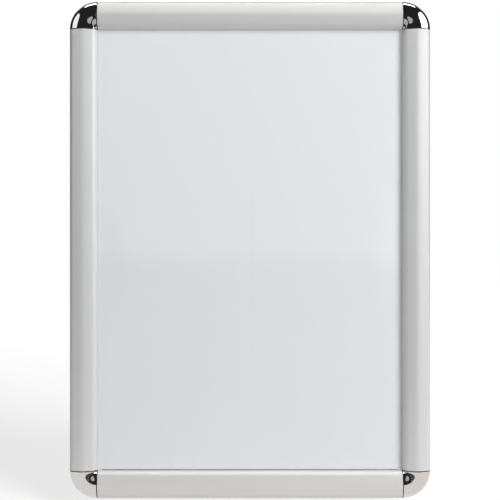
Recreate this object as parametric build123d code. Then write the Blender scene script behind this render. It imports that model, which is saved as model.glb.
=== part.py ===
from build123d import *
import os
from math import cos, hypot, radians, sin, sqrt

# A3 poster frame for a wall, with four front rails that hinge open.
# The origin is the centre of the back plane. X points to the viewer's right, Y into the wall and Z up.
# Sizes are in millimetres. A rail's section is drawn with u from its outer edge towards the window
# and v from the wall towards the viewer.

# Poster and the clear sheet over it
POSTER_WIDTH = 297.0
POSTER_HEIGHT = 420.0
POSTER_THICKNESS = 0.25
COVER_THICKNESS = 0.5

# How far in from the frame's outer edge both sheets start
SHEET_EDGE_U = 15.0

# Rounded front of rails and corner caps: a crest, a flatter flank on each side of it, and shoulders.
# The angles are how far the surface leans at each end of a flank, in degrees.
RAIL_WIDTH = 25.0
RAIL_HEIGHT = 11.5
CREST_RADIUS = 10.0
CREST_ANGLE = 9.0
FLANK_ANGLE = 20.0
SHOULDER_RADIUS = 5.9
FRONT_WALL = 1.2
RAIL_END_GAP = 0.8

# Pressing foot along the window edge of a front rail
FOOT_WIDTH = 2.4
FOOT_HEIGHT = 1.0
FOOT_CLEARANCE = 0.15

# Hinge between front rail and base rail
HINGE_U = 2.4
BEAD_RADIUS = 1.2
HINGE_CLEARANCE = 0.06
CLAW_WALL = 1.0
CLAW_LOW_ANGLE = -70.0
CLAW_HIGH_ANGLE = 118.0
CLAW_WEB_REACH = 1.0
SKIRT_CLEARANCE = 0.15

# Slotted nib on the claw that holds the springs' front feet
NIB_START = 0.6
NIB_WALL = 0.5
NIB_CLEARANCE = 0.44
SLOT_DEPTH = 0.55

# Base rail
PLATE_THICKNESS = 1.4
PLATE_INNER_SETBACK = 1.0
PLATE_CORNER_RADIUS = 0.4
WALL_THICKNESS = 1.0
WALL_OUTSIDE_HINGE = 0.75
RIB_THICKNESS = 1.0
LIP_THICKNESS = 0.8
SPRING_LIP_REACH = 0.6
SHEET_EDGE_CLEARANCE = 0.8
GUIDE_GROOVE_WIDTH = 0.8
GUIDE_GROOVE_DEPTH = 0.3
RELIEF_MARGIN = 1.8
RELIEF_DEPTH = 0.3

# Countersunk wall holes, in the side rails
WALL_HOLE_RADIUS = 2.1
WALL_SINK_RADIUS = 3.2
WALL_HOLE_SPACING = 300.0

# Backing board
BOARD_THICKNESS = 1.5
BOARD_EDGE_CLEARANCE = 0.2
BOARD_LIP_CLEARANCE = 0.3

# Snap springs
SPRING_THICKNESS = 0.4
SPRING_WIDTH = 30.0
SPRING_HEADROOM = 3.1
SPRING_BEND_RADIUS = 0.9
SPRING_FRONT_FOOT = 1.7
SPRING_BACK_FOOT = 1.6
SPRING_CLEARANCE = 0.1
SIDE_SPRING_SPACING = 200.0
CROSS_SPRING_SPACING = 130.0

# Corner caps
CAP_WALL = 1.8
CAP_FOOT_V = 0.2
CAP_TIP_RADIUS = 0.5
TONGUE_CLEARANCE = 0.2
TONGUE_THICKNESS = 0.9
TONGUE_REACH = 1.6
TONGUE_ROOT = 2.0
TONGUE_WIDTH = 12.0
BOSS_RADIUS = 2.6

# Corner brackets
BRACKET_CAP_CLEARANCE = 0.3
BRACKET_BOARD_CLEARANCE = 0.3
BRACKET_SCREW_WALL = 0.5
LEG_LENGTH = 28.0
LEG_WIDTH = 4.67
LEG_SIDE_CLEARANCE = 0.2
LEG_LIP_CLEARANCE = 0.05
LEG_CHAMFER = 0.8

# Screws
SCREW_FIT = 0.05
SCREW_HEAD_SINK = 0.1
LEG_SCREW_RADIUS = 1.0
LEG_SCREW_HEAD_RADIUS = 1.9
LEG_SCREW_HEAD_HEIGHT = 1.0
LEG_SCREW_TIP_V = 0.15
LEG_SCREW_POINT = 0.3
LEG_SCREW_PLACE = 18.0
CAP_SCREW_RADIUS = 1.45
CAP_SCREW_HEAD_RADIUS = 2.75
CAP_SCREW_HEAD_HEIGHT = 1.6
CAP_SCREW_POINT = 1.2
CAP_SCREW_COVER = 2.3
CROSS_SLOT_WIDTH = 0.5
CROSS_SLOT_DEPTH = 0.6
CROSS_SLOT_LENGTH_SHARE = 0.6

# How far a cutting body runs past what it cuts
OVERRUN = 1.0

# Outlines that follow from the sizes above
FRAME_WIDTH = POSTER_WIDTH + 2 * SHEET_EDGE_U
FRAME_HEIGHT = POSTER_HEIGHT + 2 * SHEET_EDGE_U
WINDOW_WIDTH = FRAME_WIDTH - 2 * RAIL_WIDTH
WINDOW_HEIGHT = FRAME_HEIGHT - 2 * RAIL_WIDTH
SIDE_RAIL_LENGTH = WINDOW_HEIGHT - 2 * RAIL_END_GAP
CROSS_RAIL_LENGTH = WINDOW_WIDTH - 2 * RAIL_END_GAP
BOARD_FRONT_V = PLATE_THICKNESS + BOARD_THICKNESS
POSTER_FRONT_V = BOARD_FRONT_V + POSTER_THICKNESS
COVER_FRONT_V = POSTER_FRONT_V + COVER_THICKNESS
FOOT_V = COVER_FRONT_V + FOOT_CLEARANCE
LIP_V = BOARD_FRONT_V + BOARD_LIP_CLEARANCE
LIP_FRONT_V = LIP_V + LIP_THICKNESS
LIP_END_U = SHEET_EDGE_U - SHEET_EDGE_CLEARANCE
PLATE_END_U = RAIL_WIDTH - PLATE_INNER_SETBACK

# Tangent arcs of the rounded front, with the centres of crest, outer flank and shoulder
CREST_LEAN = sin(radians(CREST_ANGLE))
FLANK_LEAN = sin(radians(FLANK_ANGLE))
FLANK_WIDTH = RAIL_WIDTH / 2 - CREST_RADIUS * CREST_LEAN - SHOULDER_RADIUS * (1 - FLANK_LEAN)
FLANK_RADIUS = FLANK_WIDTH / (FLANK_LEAN - CREST_LEAN)
CREST_V = RAIL_HEIGHT - CREST_RADIUS
FLANK_U = RAIL_WIDTH / 2 + (FLANK_RADIUS - CREST_RADIUS) * CREST_LEAN
FLANK_V = CREST_V - (FLANK_RADIUS - CREST_RADIUS) * cos(radians(CREST_ANGLE))
SHOULDER_V = FLANK_V + (FLANK_RADIUS - SHOULDER_RADIUS) * cos(radians(FLANK_ANGLE))

# Hinge claw and its nib, whose sweep as the rail opens sets how high the hinge lies
CLAW_BORE_RADIUS = BEAD_RADIUS + HINGE_CLEARANCE
CLAW_OUTER_RADIUS = CLAW_BORE_RADIUS + CLAW_WALL
SLOT_HALF_HEIGHT = SPRING_THICKNESS / 2 + SPRING_CLEARANCE
NIB_REACH = NIB_START + NIB_WALL + SLOT_DEPTH
NIB_DROP = CLAW_BORE_RADIUS + 2 * SLOT_HALF_HEIGHT + NIB_WALL
HINGE_V = PLATE_THICKNESS + NIB_CLEARANCE + NIB_DROP
SKIRT_V = HINGE_V + BEAD_RADIUS + SKIRT_CLEARANCE
SLOT_V = HINGE_V - CLAW_BORE_RADIUS - SLOT_HALF_HEIGHT
SLOT_START_U = HINGE_U + NIB_START + NIB_WALL

# Bracket legs, between the sweep of the nib and the rib
LEG_START_U = HINGE_U + hypot(NIB_REACH, NIB_DROP) + LEG_SIDE_CLEARANCE
LEG_MIDDLE_U = LEG_START_U + LEG_WIDTH / 2
LEG_BACK_V = PLATE_THICKNESS + LEG_LIP_CLEARANCE
LEG_FRONT_V = LIP_V - LEG_LIP_CLEARANCE
LEG_SCREW_HEAD_V = LEG_FRONT_V - SCREW_HEAD_SINK

# Base rail: the wall under the hinge bead, the channel, and the rib between channel and board
WALL_U = HINGE_U - WALL_OUTSIDE_HINGE
CHANNEL_U = WALL_U + WALL_THICKNESS
RIB_U = LEG_START_U + LEG_WIDTH + LEG_SIDE_CLEARANCE
RIB_END_U = RIB_U + RIB_THICKNESS
WALL_HOLE_U = (CHANNEL_U + RIB_U) / 2
BOARD_EDGE_U = RIB_END_U + BOARD_EDGE_CLEARANCE
BOARD_WIDTH = FRAME_WIDTH - 2 * BOARD_EDGE_U
BOARD_HEIGHT = FRAME_HEIGHT - 2 * BOARD_EDGE_U

# Springs, from the claw's slot to the foot of the rib
SPRING_START_U = SLOT_START_U + SPRING_CLEARANCE
SPRING_END_U = RIB_U - SPRING_CLEARANCE
SPRING_TOP_V = RAIL_HEIGHT - FRONT_WALL - SPRING_HEADROOM
SPRING_SEAT_V = PLATE_THICKNESS + SPRING_CLEARANCE + SPRING_THICKNESS / 2

# Corners: the screw boss lies just inside the bracket's edge, and the board is clipped to clear it
BRACKET_RADIUS = RAIL_WIDTH - CAP_WALL - BRACKET_CAP_CLEARANCE
HEAD_ROOM_RADIUS = CAP_SCREW_HEAD_RADIUS + SCREW_FIT
BOSS_DISTANCE = BRACKET_RADIUS - BRACKET_SCREW_WALL - HEAD_ROOM_RADIUS
BOSS_PLACE = BOSS_DISTANCE / sqrt(2)
BOSS_FLANK_OFFSET = FLANK_U - RAIL_WIDTH + BOSS_DISTANCE
CAP_SCREW_TIP_V = FLANK_V + sqrt(FLANK_RADIUS**2 - BOSS_FLANK_OFFSET**2) - CAP_SCREW_COVER
BOARD_ROOM = RAIL_WIDTH - BOARD_EDGE_U + BRACKET_BOARD_CLEARANCE
RIM_START_DISTANCE = BOSS_DISTANCE - HEAD_ROOM_RADIUS - BRACKET_SCREW_WALL
BOARD_CORNER_CUT = 2 * BOARD_ROOM - sqrt(2) * RIM_START_DISTANCE

# Each side: a point on its outer edge, the way in towards the window, the way along the rail,
# and the names of the two springs, the one further along first
SIDES = {
    "left": ((-FRAME_WIDTH / 2, 0, 0), (1, 0, 0), (0, 0, -1), ("lower", "upper")),
    "right": ((FRAME_WIDTH / 2, 0, 0), (-1, 0, 0), (0, 0, 1), ("upper", "lower")),
    "top": ((0, 0, FRAME_HEIGHT / 2), (0, 0, -1), (-1, 0, 0), ("left", "right")),
    "bottom": ((0, 0, -FRAME_HEIGHT / 2), (0, 0, 1), (1, 0, 0), ("right", "left")),
}
UPRIGHT_SIDES = ("left", "right")

# Each corner of the window, and the first of the two ways out from it
CORNERS = {
    "top_right": ((WINDOW_WIDTH / 2, 0, WINDOW_HEIGHT / 2), (1, 0, 0)),
    "top_left": ((-WINDOW_WIDTH / 2, 0, WINDOW_HEIGHT / 2), (0, 0, 1)),
    "bottom_left": ((-WINDOW_WIDTH / 2, 0, -WINDOW_HEIGHT / 2), (-1, 0, 0)),
    "bottom_right": ((WINDOW_WIDTH / 2, 0, -WINDOW_HEIGHT / 2), (0, 0, -1)),
}
TOWARDS_VIEWER = (0, -1, 0)


def side_location(side):
    """Carries a piece from a rail's own frame (u, v, along) to its side of the frame."""
    origin, inwards, along, _ = SIDES[side]
    return Plane(origin=origin, x_dir=inwards, z_dir=along).location


def corner_location(corner):
    """Carries a piece from a corner's own frame (both ways out, height off the wall) to its corner."""
    origin, outwards = CORNERS[corner]
    return Plane(origin=origin, x_dir=outwards, z_dir=TOWARDS_VIEWER).location


def across_diagonal(shape):
    """The same piece for a corner's other way out."""
    return mirror(shape, about=Plane((0, 0, 0), x_dir=(1, 1, 0), z_dir=(1, -1, 0)))


def area(start_u, end_u, start_v, end_v):
    """Rectangle between two corners."""
    middle = Pos((start_u + end_u) / 2, (start_v + end_v) / 2)
    return middle * Rectangle(end_u - start_u, end_v - start_v)


def turned(centre, radius, angle):
    """Point on a circle, at an angle in degrees."""
    return (centre[0] + radius * cos(radians(angle)), centre[1] + radius * sin(radians(angle)))


def arc(centre, radius, start_angle, end_angle):
    """Circular arc between two angles in degrees."""
    angles = (start_angle, (start_angle + end_angle) / 2, end_angle)
    return ThreePointArc(*[turned(centre, radius, angle) for angle in angles])


def arch(inset, foot_v):
    """All that lies under the rounded front, inset by a wall, down to foot_v."""
    near_crest, far_crest = 90 + CREST_ANGLE, 90 - CREST_ANGLE
    near_flank, far_flank = 90 + FLANK_ANGLE, 90 - FLANK_ANGLE
    flank_radius = FLANK_RADIUS - inset
    shoulder_radius = SHOULDER_RADIUS - inset
    far_u = RAIL_WIDTH - inset
    outline = [
        Line((inset, foot_v), (inset, SHOULDER_V)),
        arc((SHOULDER_RADIUS, SHOULDER_V), shoulder_radius, 180, near_flank),
        arc((FLANK_U, FLANK_V), flank_radius, near_flank, near_crest),
        arc((RAIL_WIDTH / 2, CREST_V), CREST_RADIUS - inset, near_crest, far_crest),
        arc((RAIL_WIDTH - FLANK_U, FLANK_V), flank_radius, far_crest, far_flank),
        arc((RAIL_WIDTH - SHOULDER_RADIUS, SHOULDER_V), shoulder_radius, far_flank, 0),
        Line((far_u, SHOULDER_V), (far_u, foot_v)),
        Line((far_u, foot_v), (inset, foot_v)),
    ]
    return make_face(outline)


def ring_part(centre, bore_radius, outer_radius, start_angle, end_angle):
    """Part of a flat ring between two angles."""
    turn = end_angle - start_angle
    outline = [
        CenterArc(centre, outer_radius, start_angle, turn),
        Line(turned(centre, outer_radius, end_angle), turned(centre, bore_radius, end_angle)),
        CenterArc(centre, bore_radius, start_angle, turn),
        Line(turned(centre, bore_radius, start_angle), turned(centre, outer_radius, start_angle)),
    ]
    return make_face(outline)


def claw_section():
    """Hinge claw round the bead, with the slotted nib that holds the springs."""
    hinge = (HINGE_U, HINGE_V)
    ring = ring_part(hinge, CLAW_BORE_RADIUS, CLAW_OUTER_RADIUS, CLAW_LOW_ANGLE, CLAW_HIGH_ANGLE)
    half_nib = SLOT_HALF_HEIGHT + NIB_WALL
    nib_u = HINGE_U + NIB_START
    nib = area(nib_u, HINGE_U + NIB_REACH, SLOT_V - half_nib, SLOT_V + half_nib)
    nib -= Pos(HINGE_U, HINGE_V) * Circle(CLAW_BORE_RADIUS)
    slot_end_u = SLOT_START_U + CLAW_OUTER_RADIUS
    slot = area(SLOT_START_U, slot_end_u, SLOT_V - SLOT_HALF_HEIGHT, SLOT_V + SLOT_HALF_HEIGHT)
    return ring + nib - slot


def front_rail_section():
    """Rounded cover with a solid outer shoulder over the claw and a foot along the window."""
    shell = arch(0, FOOT_V) - arch(FRONT_WALL, FOOT_V - OVERRUN)
    shell -= area(-OVERRUN, RAIL_WIDTH / 2, FOOT_V - OVERRUN, SKIRT_V)
    shoulder = arch(0, FOOT_V) & area(0, HINGE_U + CLAW_WEB_REACH, SKIRT_V, RAIL_HEIGHT)
    foot = area(RAIL_WIDTH - FOOT_WIDTH, RAIL_WIDTH, FOOT_V, FOOT_V + FOOT_HEIGHT)
    return shell + shoulder + claw_section() + foot


def base_rail_section():
    """Back plate with the hinge bead, the spring rib, and lips over board and springs."""
    plate = area(WALL_U, PLATE_END_U, 0, PLATE_THICKNESS)
    plate = fillet(plate.vertices().group_by(Axis.X)[0].sort_by(Axis.Y)[0], PLATE_CORNER_RADIUS)
    wall = area(WALL_U, CHANNEL_U, PLATE_THICKNESS / 2, HINGE_V)
    bead = Pos(HINGE_U, HINGE_V) * Circle(BEAD_RADIUS)
    rib = area(RIB_U, RIB_END_U, 0, LIP_FRONT_V)
    lips = area(RIB_U - SPRING_LIP_REACH, LIP_END_U, LIP_V, LIP_FRONT_V)
    groove = make_face(
        Polyline(
            (WALL_HOLE_U - GUIDE_GROOVE_WIDTH / 2, PLATE_THICKNESS),
            (WALL_HOLE_U, PLATE_THICKNESS - GUIDE_GROOVE_DEPTH),
            (WALL_HOLE_U + GUIDE_GROOVE_WIDTH / 2, PLATE_THICKNESS),
            close=True,
        )
    )
    relief = area(RIB_END_U + RELIEF_MARGIN, PLATE_END_U - RELIEF_MARGIN, -OVERRUN, RELIEF_DEPTH)
    return plate + wall + bead + rib + lips - groove - relief


def rail_length(side):
    """Cut length of the rails on one side."""
    return SIDE_RAIL_LENGTH if side in UPRIGHT_SIDES else CROSS_RAIL_LENGTH


def front_rail(side):
    """Hinged front rail of one side."""
    return extrude(front_rail_section(), rail_length(side) / 2, both=True)


def base_rail(side):
    """Fixed back rail of one side, with its screw holes."""
    rail = extrude(base_rail_section(), rail_length(side) / 2, both=True)
    from_plate = (90, 0, 0)
    drill = Cylinder(LEG_SCREW_RADIUS + SCREW_FIT, 2 * PLATE_THICKNESS, rotation=from_plate)
    screw_along = rail_length(side) / 2 + RAIL_END_GAP - LEG_SCREW_PLACE
    for along in (-screw_along, screw_along):
        rail -= Pos(LEG_MIDDLE_U, PLATE_THICKNESS / 2, along) * drill
    if side in UPRIGHT_SIDES:
        for along in (-WALL_HOLE_SPACING / 2, WALL_HOLE_SPACING / 2):
            rail -= Pos(WALL_HOLE_U, 0, along) * wall_hole()
    return rail


def wall_hole():
    """Hole through a base rail's plate, with a countersink from the front."""
    hole = Cylinder(WALL_HOLE_RADIUS, 2 * PLATE_THICKNESS)
    sink_height = WALL_SINK_RADIUS - WALL_HOLE_RADIUS
    sink = Cone(WALL_HOLE_RADIUS, WALL_SINK_RADIUS, sink_height)
    return Rot(-90, 0, 0) * (hole + Pos(0, 0, PLATE_THICKNESS - sink_height / 2) * sink)


def spring(along):
    """Bent steel strip from the claw's slot, up and over, to its seat under the rib's lip."""
    front_leg_u = SPRING_START_U + SPRING_FRONT_FOOT
    back_leg_u = SPRING_END_U - SPRING_BACK_FOOT
    route = FilletPolyline(
        (SPRING_START_U, SLOT_V, along),
        (front_leg_u, SLOT_V, along),
        (front_leg_u, SPRING_TOP_V, along),
        (back_leg_u, SPRING_TOP_V, along),
        (back_leg_u, SPRING_SEAT_V, along),
        (SPRING_END_U, SPRING_SEAT_V, along),
        radius=SPRING_BEND_RADIUS,
    )
    start = Plane(origin=route @ 0, x_dir=(0, 0, 1), z_dir=route % 0)
    return sweep(start * Rectangle(SPRING_WIDTH, SPRING_THICKNESS), path=route)


def springs_of(side):
    """The two springs of one side, by name."""
    spacing = SIDE_SPRING_SPACING if side in UPRIGHT_SIDES else CROSS_SPRING_SPACING
    ends = SIDES[side][3]
    placed = side_location(side)
    return {
        f"spring_{side}_{ends[0]}": placed * spring(spacing / 2),
        f"spring_{side}_{ends[1]}": placed * spring(-spacing / 2),
    }


def backing_board():
    """Plastic panel with clipped corners, its edges in the base rails' grooves."""
    board = Box(BOARD_WIDTH, BOARD_THICKNESS, BOARD_HEIGHT)
    board = chamfer(board.edges().filter_by(Axis.Y), BOARD_CORNER_CUT)
    return Pos(0, -(PLATE_THICKNESS + BOARD_FRONT_V) / 2, 0) * board


def loose_sheet(back_v, front_v):
    """Poster-sized sheet between two heights off the wall."""
    sheet = Box(POSTER_WIDTH, front_v - back_v, POSTER_HEIGHT)
    return Pos(0, -(back_v + front_v) / 2, 0) * sheet


def raised(face, low_v, high_v):
    """Flat face in a corner's own frame, stood up between two heights off the wall."""
    return Pos(0, 0, low_v) * extrude(face, high_v - low_v)


def quarter_disc(radius):
    """Quarter of a disc between a corner's two ways out."""
    outline = [
        Line((0, 0), (radius, 0)),
        CenterArc((0, 0), radius, 0, 90),
        Line((0, radius), (0, 0)),
    ]
    return make_face(outline)


def quarter_turn(section):
    """Section drawn in u and v, turned a quarter round the window's corner."""
    from_corner = Pos(RAIL_WIDTH, 0) * mirror(section, about=Plane.YZ)
    return revolve(Plane.XZ * from_corner, axis=Axis.Z, revolution_arc=90)


def cap_shell():
    """Quarter-round shell with a skirt to the wall, thick round the window's corner."""
    section = arch(0, CAP_FOOT_V) - arch(CAP_WALL, CAP_FOOT_V - OVERRUN)
    section -= area(RAIL_WIDTH / 2, RAIL_WIDTH + OVERRUN, CAP_FOOT_V - OVERRUN, FOOT_V)
    section -= area(RAIL_WIDTH - CAP_TIP_RADIUS, RAIL_WIDTH + OVERRUN, 0, RAIL_HEIGHT)
    return quarter_turn(section)


def cap_boss():
    """Screw boss from the bracket's rim up into the cap's wall."""
    column = raised(Pos(BOSS_PLACE, BOSS_PLACE) * Circle(BOSS_RADIUS), BOARD_FRONT_V, RAIL_HEIGHT)
    under_wall = arch(CAP_WALL / 2, 0) - area(RAIL_WIDTH / 2, RAIL_WIDTH, 0, RAIL_HEIGHT)
    return column & quarter_turn(under_wall)


def cap_tongue():
    """Ledge that reaches from the cap in under the end of a front rail."""
    back = FRONT_WALL + TONGUE_CLEARANCE
    band = arch(back, FOOT_V) - arch(back + TONGUE_THICKNESS, FOOT_V - OVERRUN)
    start_u = (RAIL_WIDTH - TONGUE_WIDTH) / 2
    band &= area(start_u, start_u + TONGUE_WIDTH, SHOULDER_V, RAIL_HEIGHT)
    reach = RAIL_END_GAP + TONGUE_REACH
    end = Plane(origin=(RAIL_WIDTH, -reach, 0), x_dir=(-1, 0, 0), z_dir=(0, 1, 0))
    return end.location * extrude(band, reach + TONGUE_ROOT)


def corner_cap():
    """Chromed cap of one corner, in the corner's own frame."""
    tongue = cap_tongue()
    cap = cap_shell() + cap_boss() + tongue + across_diagonal(tongue)
    pilot = Pos(BOSS_PLACE, BOSS_PLACE) * Circle(CAP_SCREW_RADIUS + SCREW_FIT)
    return cap - raised(pilot, BOARD_FRONT_V - OVERRUN, CAP_SCREW_TIP_V + SCREW_FIT)


def bracket_leg():
    """Flat leg that slides into a base rail's channel, with its screw hole."""
    leg = Box(LEG_WIDTH, LEG_LENGTH + OVERRUN, LEG_FRONT_V - LEG_BACK_V)
    leg = chamfer(leg.edges().filter_by(Axis.Z).group_by(Axis.Y)[0], LEG_CHAMFER)
    middle_v = (LEG_FRONT_V + LEG_BACK_V) / 2
    leg = Pos(RAIL_WIDTH - LEG_MIDDLE_U, (OVERRUN - LEG_LENGTH) / 2, middle_v) * leg
    return leg - Pos(*leg_screw_spot()) * leg_screw_room()


def leg_screw_spot():
    """Place of a leg's screw, in the corner's own frame."""
    return (RAIL_WIDTH - LEG_MIDDLE_U, -LEG_SCREW_PLACE)


def leg_screw_room():
    """Clearance hole, countersink and mouth for a leg's screw."""
    shank_radius = LEG_SCREW_RADIUS + SCREW_FIT
    head_radius = LEG_SCREW_HEAD_RADIUS + SCREW_FIT
    hole = raised(Circle(shank_radius), 0, LEG_FRONT_V)
    sink = Cone(shank_radius, head_radius, LEG_SCREW_HEAD_HEIGHT)
    mouth = raised(Circle(head_radius), LEG_SCREW_HEAD_V, LEG_FRONT_V + OVERRUN)
    return hole + Pos(0, 0, LEG_SCREW_HEAD_V - LEG_SCREW_HEAD_HEIGHT / 2) * sink + mouth


def cap_screw_room():
    """Clearance hole and countersink, open to the wall, for the screw that holds the cap."""
    shank_radius = CAP_SCREW_RADIUS + SCREW_FIT
    hole = raised(Circle(shank_radius), 0, RAIL_HEIGHT)
    sink = Cone(HEAD_ROOM_RADIUS, shank_radius, CAP_SCREW_HEAD_HEIGHT)
    mouth = raised(Circle(HEAD_ROOM_RADIUS), -OVERRUN, SCREW_HEAD_SINK)
    return hole + Pos(0, 0, SCREW_HEAD_SINK + CAP_SCREW_HEAD_HEIGHT / 2) * sink + mouth


def corner_bracket():
    """Moulded angle piece: a quarter floor, a rim outside the board's corner, and two legs."""
    floor = raised(quarter_disc(BRACKET_RADIUS), 0, PLATE_THICKNESS)
    clipped = BOARD_ROOM - BOARD_CORNER_CUT
    board_room = make_face(
        Polyline(
            (-OVERRUN, -OVERRUN),
            (BOARD_ROOM, -OVERRUN),
            (BOARD_ROOM, clipped),
            (clipped, BOARD_ROOM),
            (-OVERRUN, BOARD_ROOM),
            close=True,
        )
    )
    rim = raised(quarter_disc(BRACKET_RADIUS) - board_room, 0, BOARD_FRONT_V)
    leg = bracket_leg()
    return floor + rim + leg + across_diagonal(leg) - Pos(BOSS_PLACE, BOSS_PLACE) * cap_screw_room()


def countersunk_screw(shank_radius, head_radius, head_height, length, point):
    """Screw that stands head down at the origin, with a cross slot in its head."""
    section = make_face(
        Polyline(
            (0, 0),
            (head_radius, 0),
            (shank_radius, head_height),
            (shank_radius, length - point),
            (shank_radius / 2, length),
            (0, length),
            close=True,
        )
    )
    screw = revolve(Plane.XZ * section, axis=Axis.Z)
    slot_length = 2 * head_radius * CROSS_SLOT_LENGTH_SHARE
    slot = Box(slot_length, CROSS_SLOT_WIDTH, 2 * CROSS_SLOT_DEPTH)
    return screw - slot - Rot(0, 0, 90) * slot


def bracket_screws():
    """Screws through every bracket leg into the base rails, driven from the front."""
    screw = countersunk_screw(
        LEG_SCREW_RADIUS,
        LEG_SCREW_HEAD_RADIUS,
        LEG_SCREW_HEAD_HEIGHT,
        LEG_SCREW_HEAD_V - LEG_SCREW_TIP_V,
        LEG_SCREW_POINT,
    )
    placed = Pos(*leg_screw_spot(), LEG_SCREW_HEAD_V) * Rot(180, 0, 0) * screw
    pair = (placed, across_diagonal(placed))
    return [corner_location(corner) * piece for corner in CORNERS for piece in pair]


def cap_screws():
    """Screws through the brackets into the caps' bosses, driven from the back."""
    screw = countersunk_screw(
        CAP_SCREW_RADIUS,
        CAP_SCREW_HEAD_RADIUS,
        CAP_SCREW_HEAD_HEIGHT,
        CAP_SCREW_TIP_V - SCREW_HEAD_SINK,
        CAP_SCREW_POINT,
    )
    placed = Pos(BOSS_PLACE, BOSS_PLACE, SCREW_HEAD_SINK) * screw
    return [corner_location(corner) * placed for corner in CORNERS]


def group(shapes):
    """One compound that keeps each piece a separate solid."""
    return Compound([solid for shape in shapes for solid in shape.solids()])


def all_nodes():
    """Every separate piece of the frame, by name."""
    nodes = {
        "backing_board": backing_board(),
        "poster_sheet": loose_sheet(BOARD_FRONT_V, POSTER_FRONT_V),
        "cover_sheet": loose_sheet(POSTER_FRONT_V, COVER_FRONT_V),
        "bracket_screws": group(bracket_screws()),
        "cap_screws": group(cap_screws()),
    }
    for side in SIDES:
        nodes[f"base_rail_{side}"] = side_location(side) * base_rail(side)
        nodes[f"front_rail_{side}"] = side_location(side) * front_rail(side)
        nodes.update(springs_of(side))
    cap = corner_cap()
    bracket = corner_bracket()
    for corner in CORNERS:
        nodes[f"corner_cap_{corner}"] = corner_location(corner) * cap
        nodes[f"corner_bracket_{corner}"] = corner_location(corner) * bracket
    return nodes


os.makedirs("parts", exist_ok=True)
for name, piece in all_nodes().items():
    export_step(piece, f"parts/{name}.step")
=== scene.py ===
"""Looks of an A3 poster frame with front-opening rails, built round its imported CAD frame.

Rails, caps, brackets, screws and board keep their CAD meshes and get their finishes here. The
folded insert, the clear film over it and the eight snap springs are meshes of this script.
All lengths are in metres. X points to the viewer's right, Y into the wall and Z up.
"""

import logging
import math
from dataclasses import dataclass
from enum import Enum
from typing import Optional, Sequence

import bpy
import numpy as np
from mathutils import Matrix, Vector


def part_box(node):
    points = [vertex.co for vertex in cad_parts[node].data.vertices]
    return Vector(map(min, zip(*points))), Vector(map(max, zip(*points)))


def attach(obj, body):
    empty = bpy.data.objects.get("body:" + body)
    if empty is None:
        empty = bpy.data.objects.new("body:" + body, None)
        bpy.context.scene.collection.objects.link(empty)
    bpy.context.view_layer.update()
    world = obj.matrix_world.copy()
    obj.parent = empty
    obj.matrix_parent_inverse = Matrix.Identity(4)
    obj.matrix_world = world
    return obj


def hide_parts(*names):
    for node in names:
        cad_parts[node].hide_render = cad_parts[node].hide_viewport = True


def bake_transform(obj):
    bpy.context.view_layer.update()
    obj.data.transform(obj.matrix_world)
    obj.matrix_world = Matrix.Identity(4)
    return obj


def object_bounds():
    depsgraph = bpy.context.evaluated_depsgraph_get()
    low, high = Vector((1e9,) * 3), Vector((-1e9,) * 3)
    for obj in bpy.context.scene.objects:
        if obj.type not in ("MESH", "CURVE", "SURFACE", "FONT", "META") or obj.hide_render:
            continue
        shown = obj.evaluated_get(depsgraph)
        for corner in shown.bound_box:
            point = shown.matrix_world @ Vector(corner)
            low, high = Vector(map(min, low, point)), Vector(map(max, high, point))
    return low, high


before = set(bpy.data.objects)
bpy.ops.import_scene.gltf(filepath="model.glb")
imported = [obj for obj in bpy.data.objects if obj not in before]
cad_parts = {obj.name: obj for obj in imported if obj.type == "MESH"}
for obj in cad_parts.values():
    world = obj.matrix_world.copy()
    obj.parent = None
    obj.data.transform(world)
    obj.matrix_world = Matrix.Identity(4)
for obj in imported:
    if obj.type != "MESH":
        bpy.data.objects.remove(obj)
CAD_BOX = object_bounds()

MM = 0.001
RAIL_WIDTH = 25 * MM
HALF_SIZE = (CAD_BOX[1].x, 0.0, CAD_BOX[1].z)
WINDOW = (CAD_BOX[1].x - RAIL_WIDTH, CAD_BOX[1].z - RAIL_WIDTH)
FRAME_MIDDLE = Vector((0, 0, 0))
SHARP_ANGLE = math.radians(35)

Point = tuple[float, float, float]
Colour = tuple[float, float, float]
Range = tuple[float, float]
Socket = bpy.types.NodeSocket
X_AXIS, Y_AXIS, Z_AXIS = 0, 1, 2

# The studio's colours, and the height of its level cards, just under the frame.
BLACK: Colour = (0.024, 0.022, 0.022)
BEIGE: Colour = (1.0, 0.945, 0.905)
WHITE: Colour = (1.0, 1.0, 0.985)
PLAIN_WHITE: Colour = (1.0, 1.0, 1.0)
TABLE_TOP = -225.1 * MM

# Where most noise values lie, and the share that they are stretched to.
NOISE_SPAN: Range = (0.3, 0.7)
WHOLE: Range = (0.0, 1.0)
# Cosine of the turn from a surface's own normal to its softened one: still flat, and fully worn.
EDGE_TURN: Range = (0.995, 0.85)
EDGE_SAMPLES = 4
# Colour sockets of Blender's mix node.
MIX_FIRST, MIX_SECOND, MIX_RESULT = 6, 7, 2

log = logging.getLogger("poster_frame")


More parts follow.
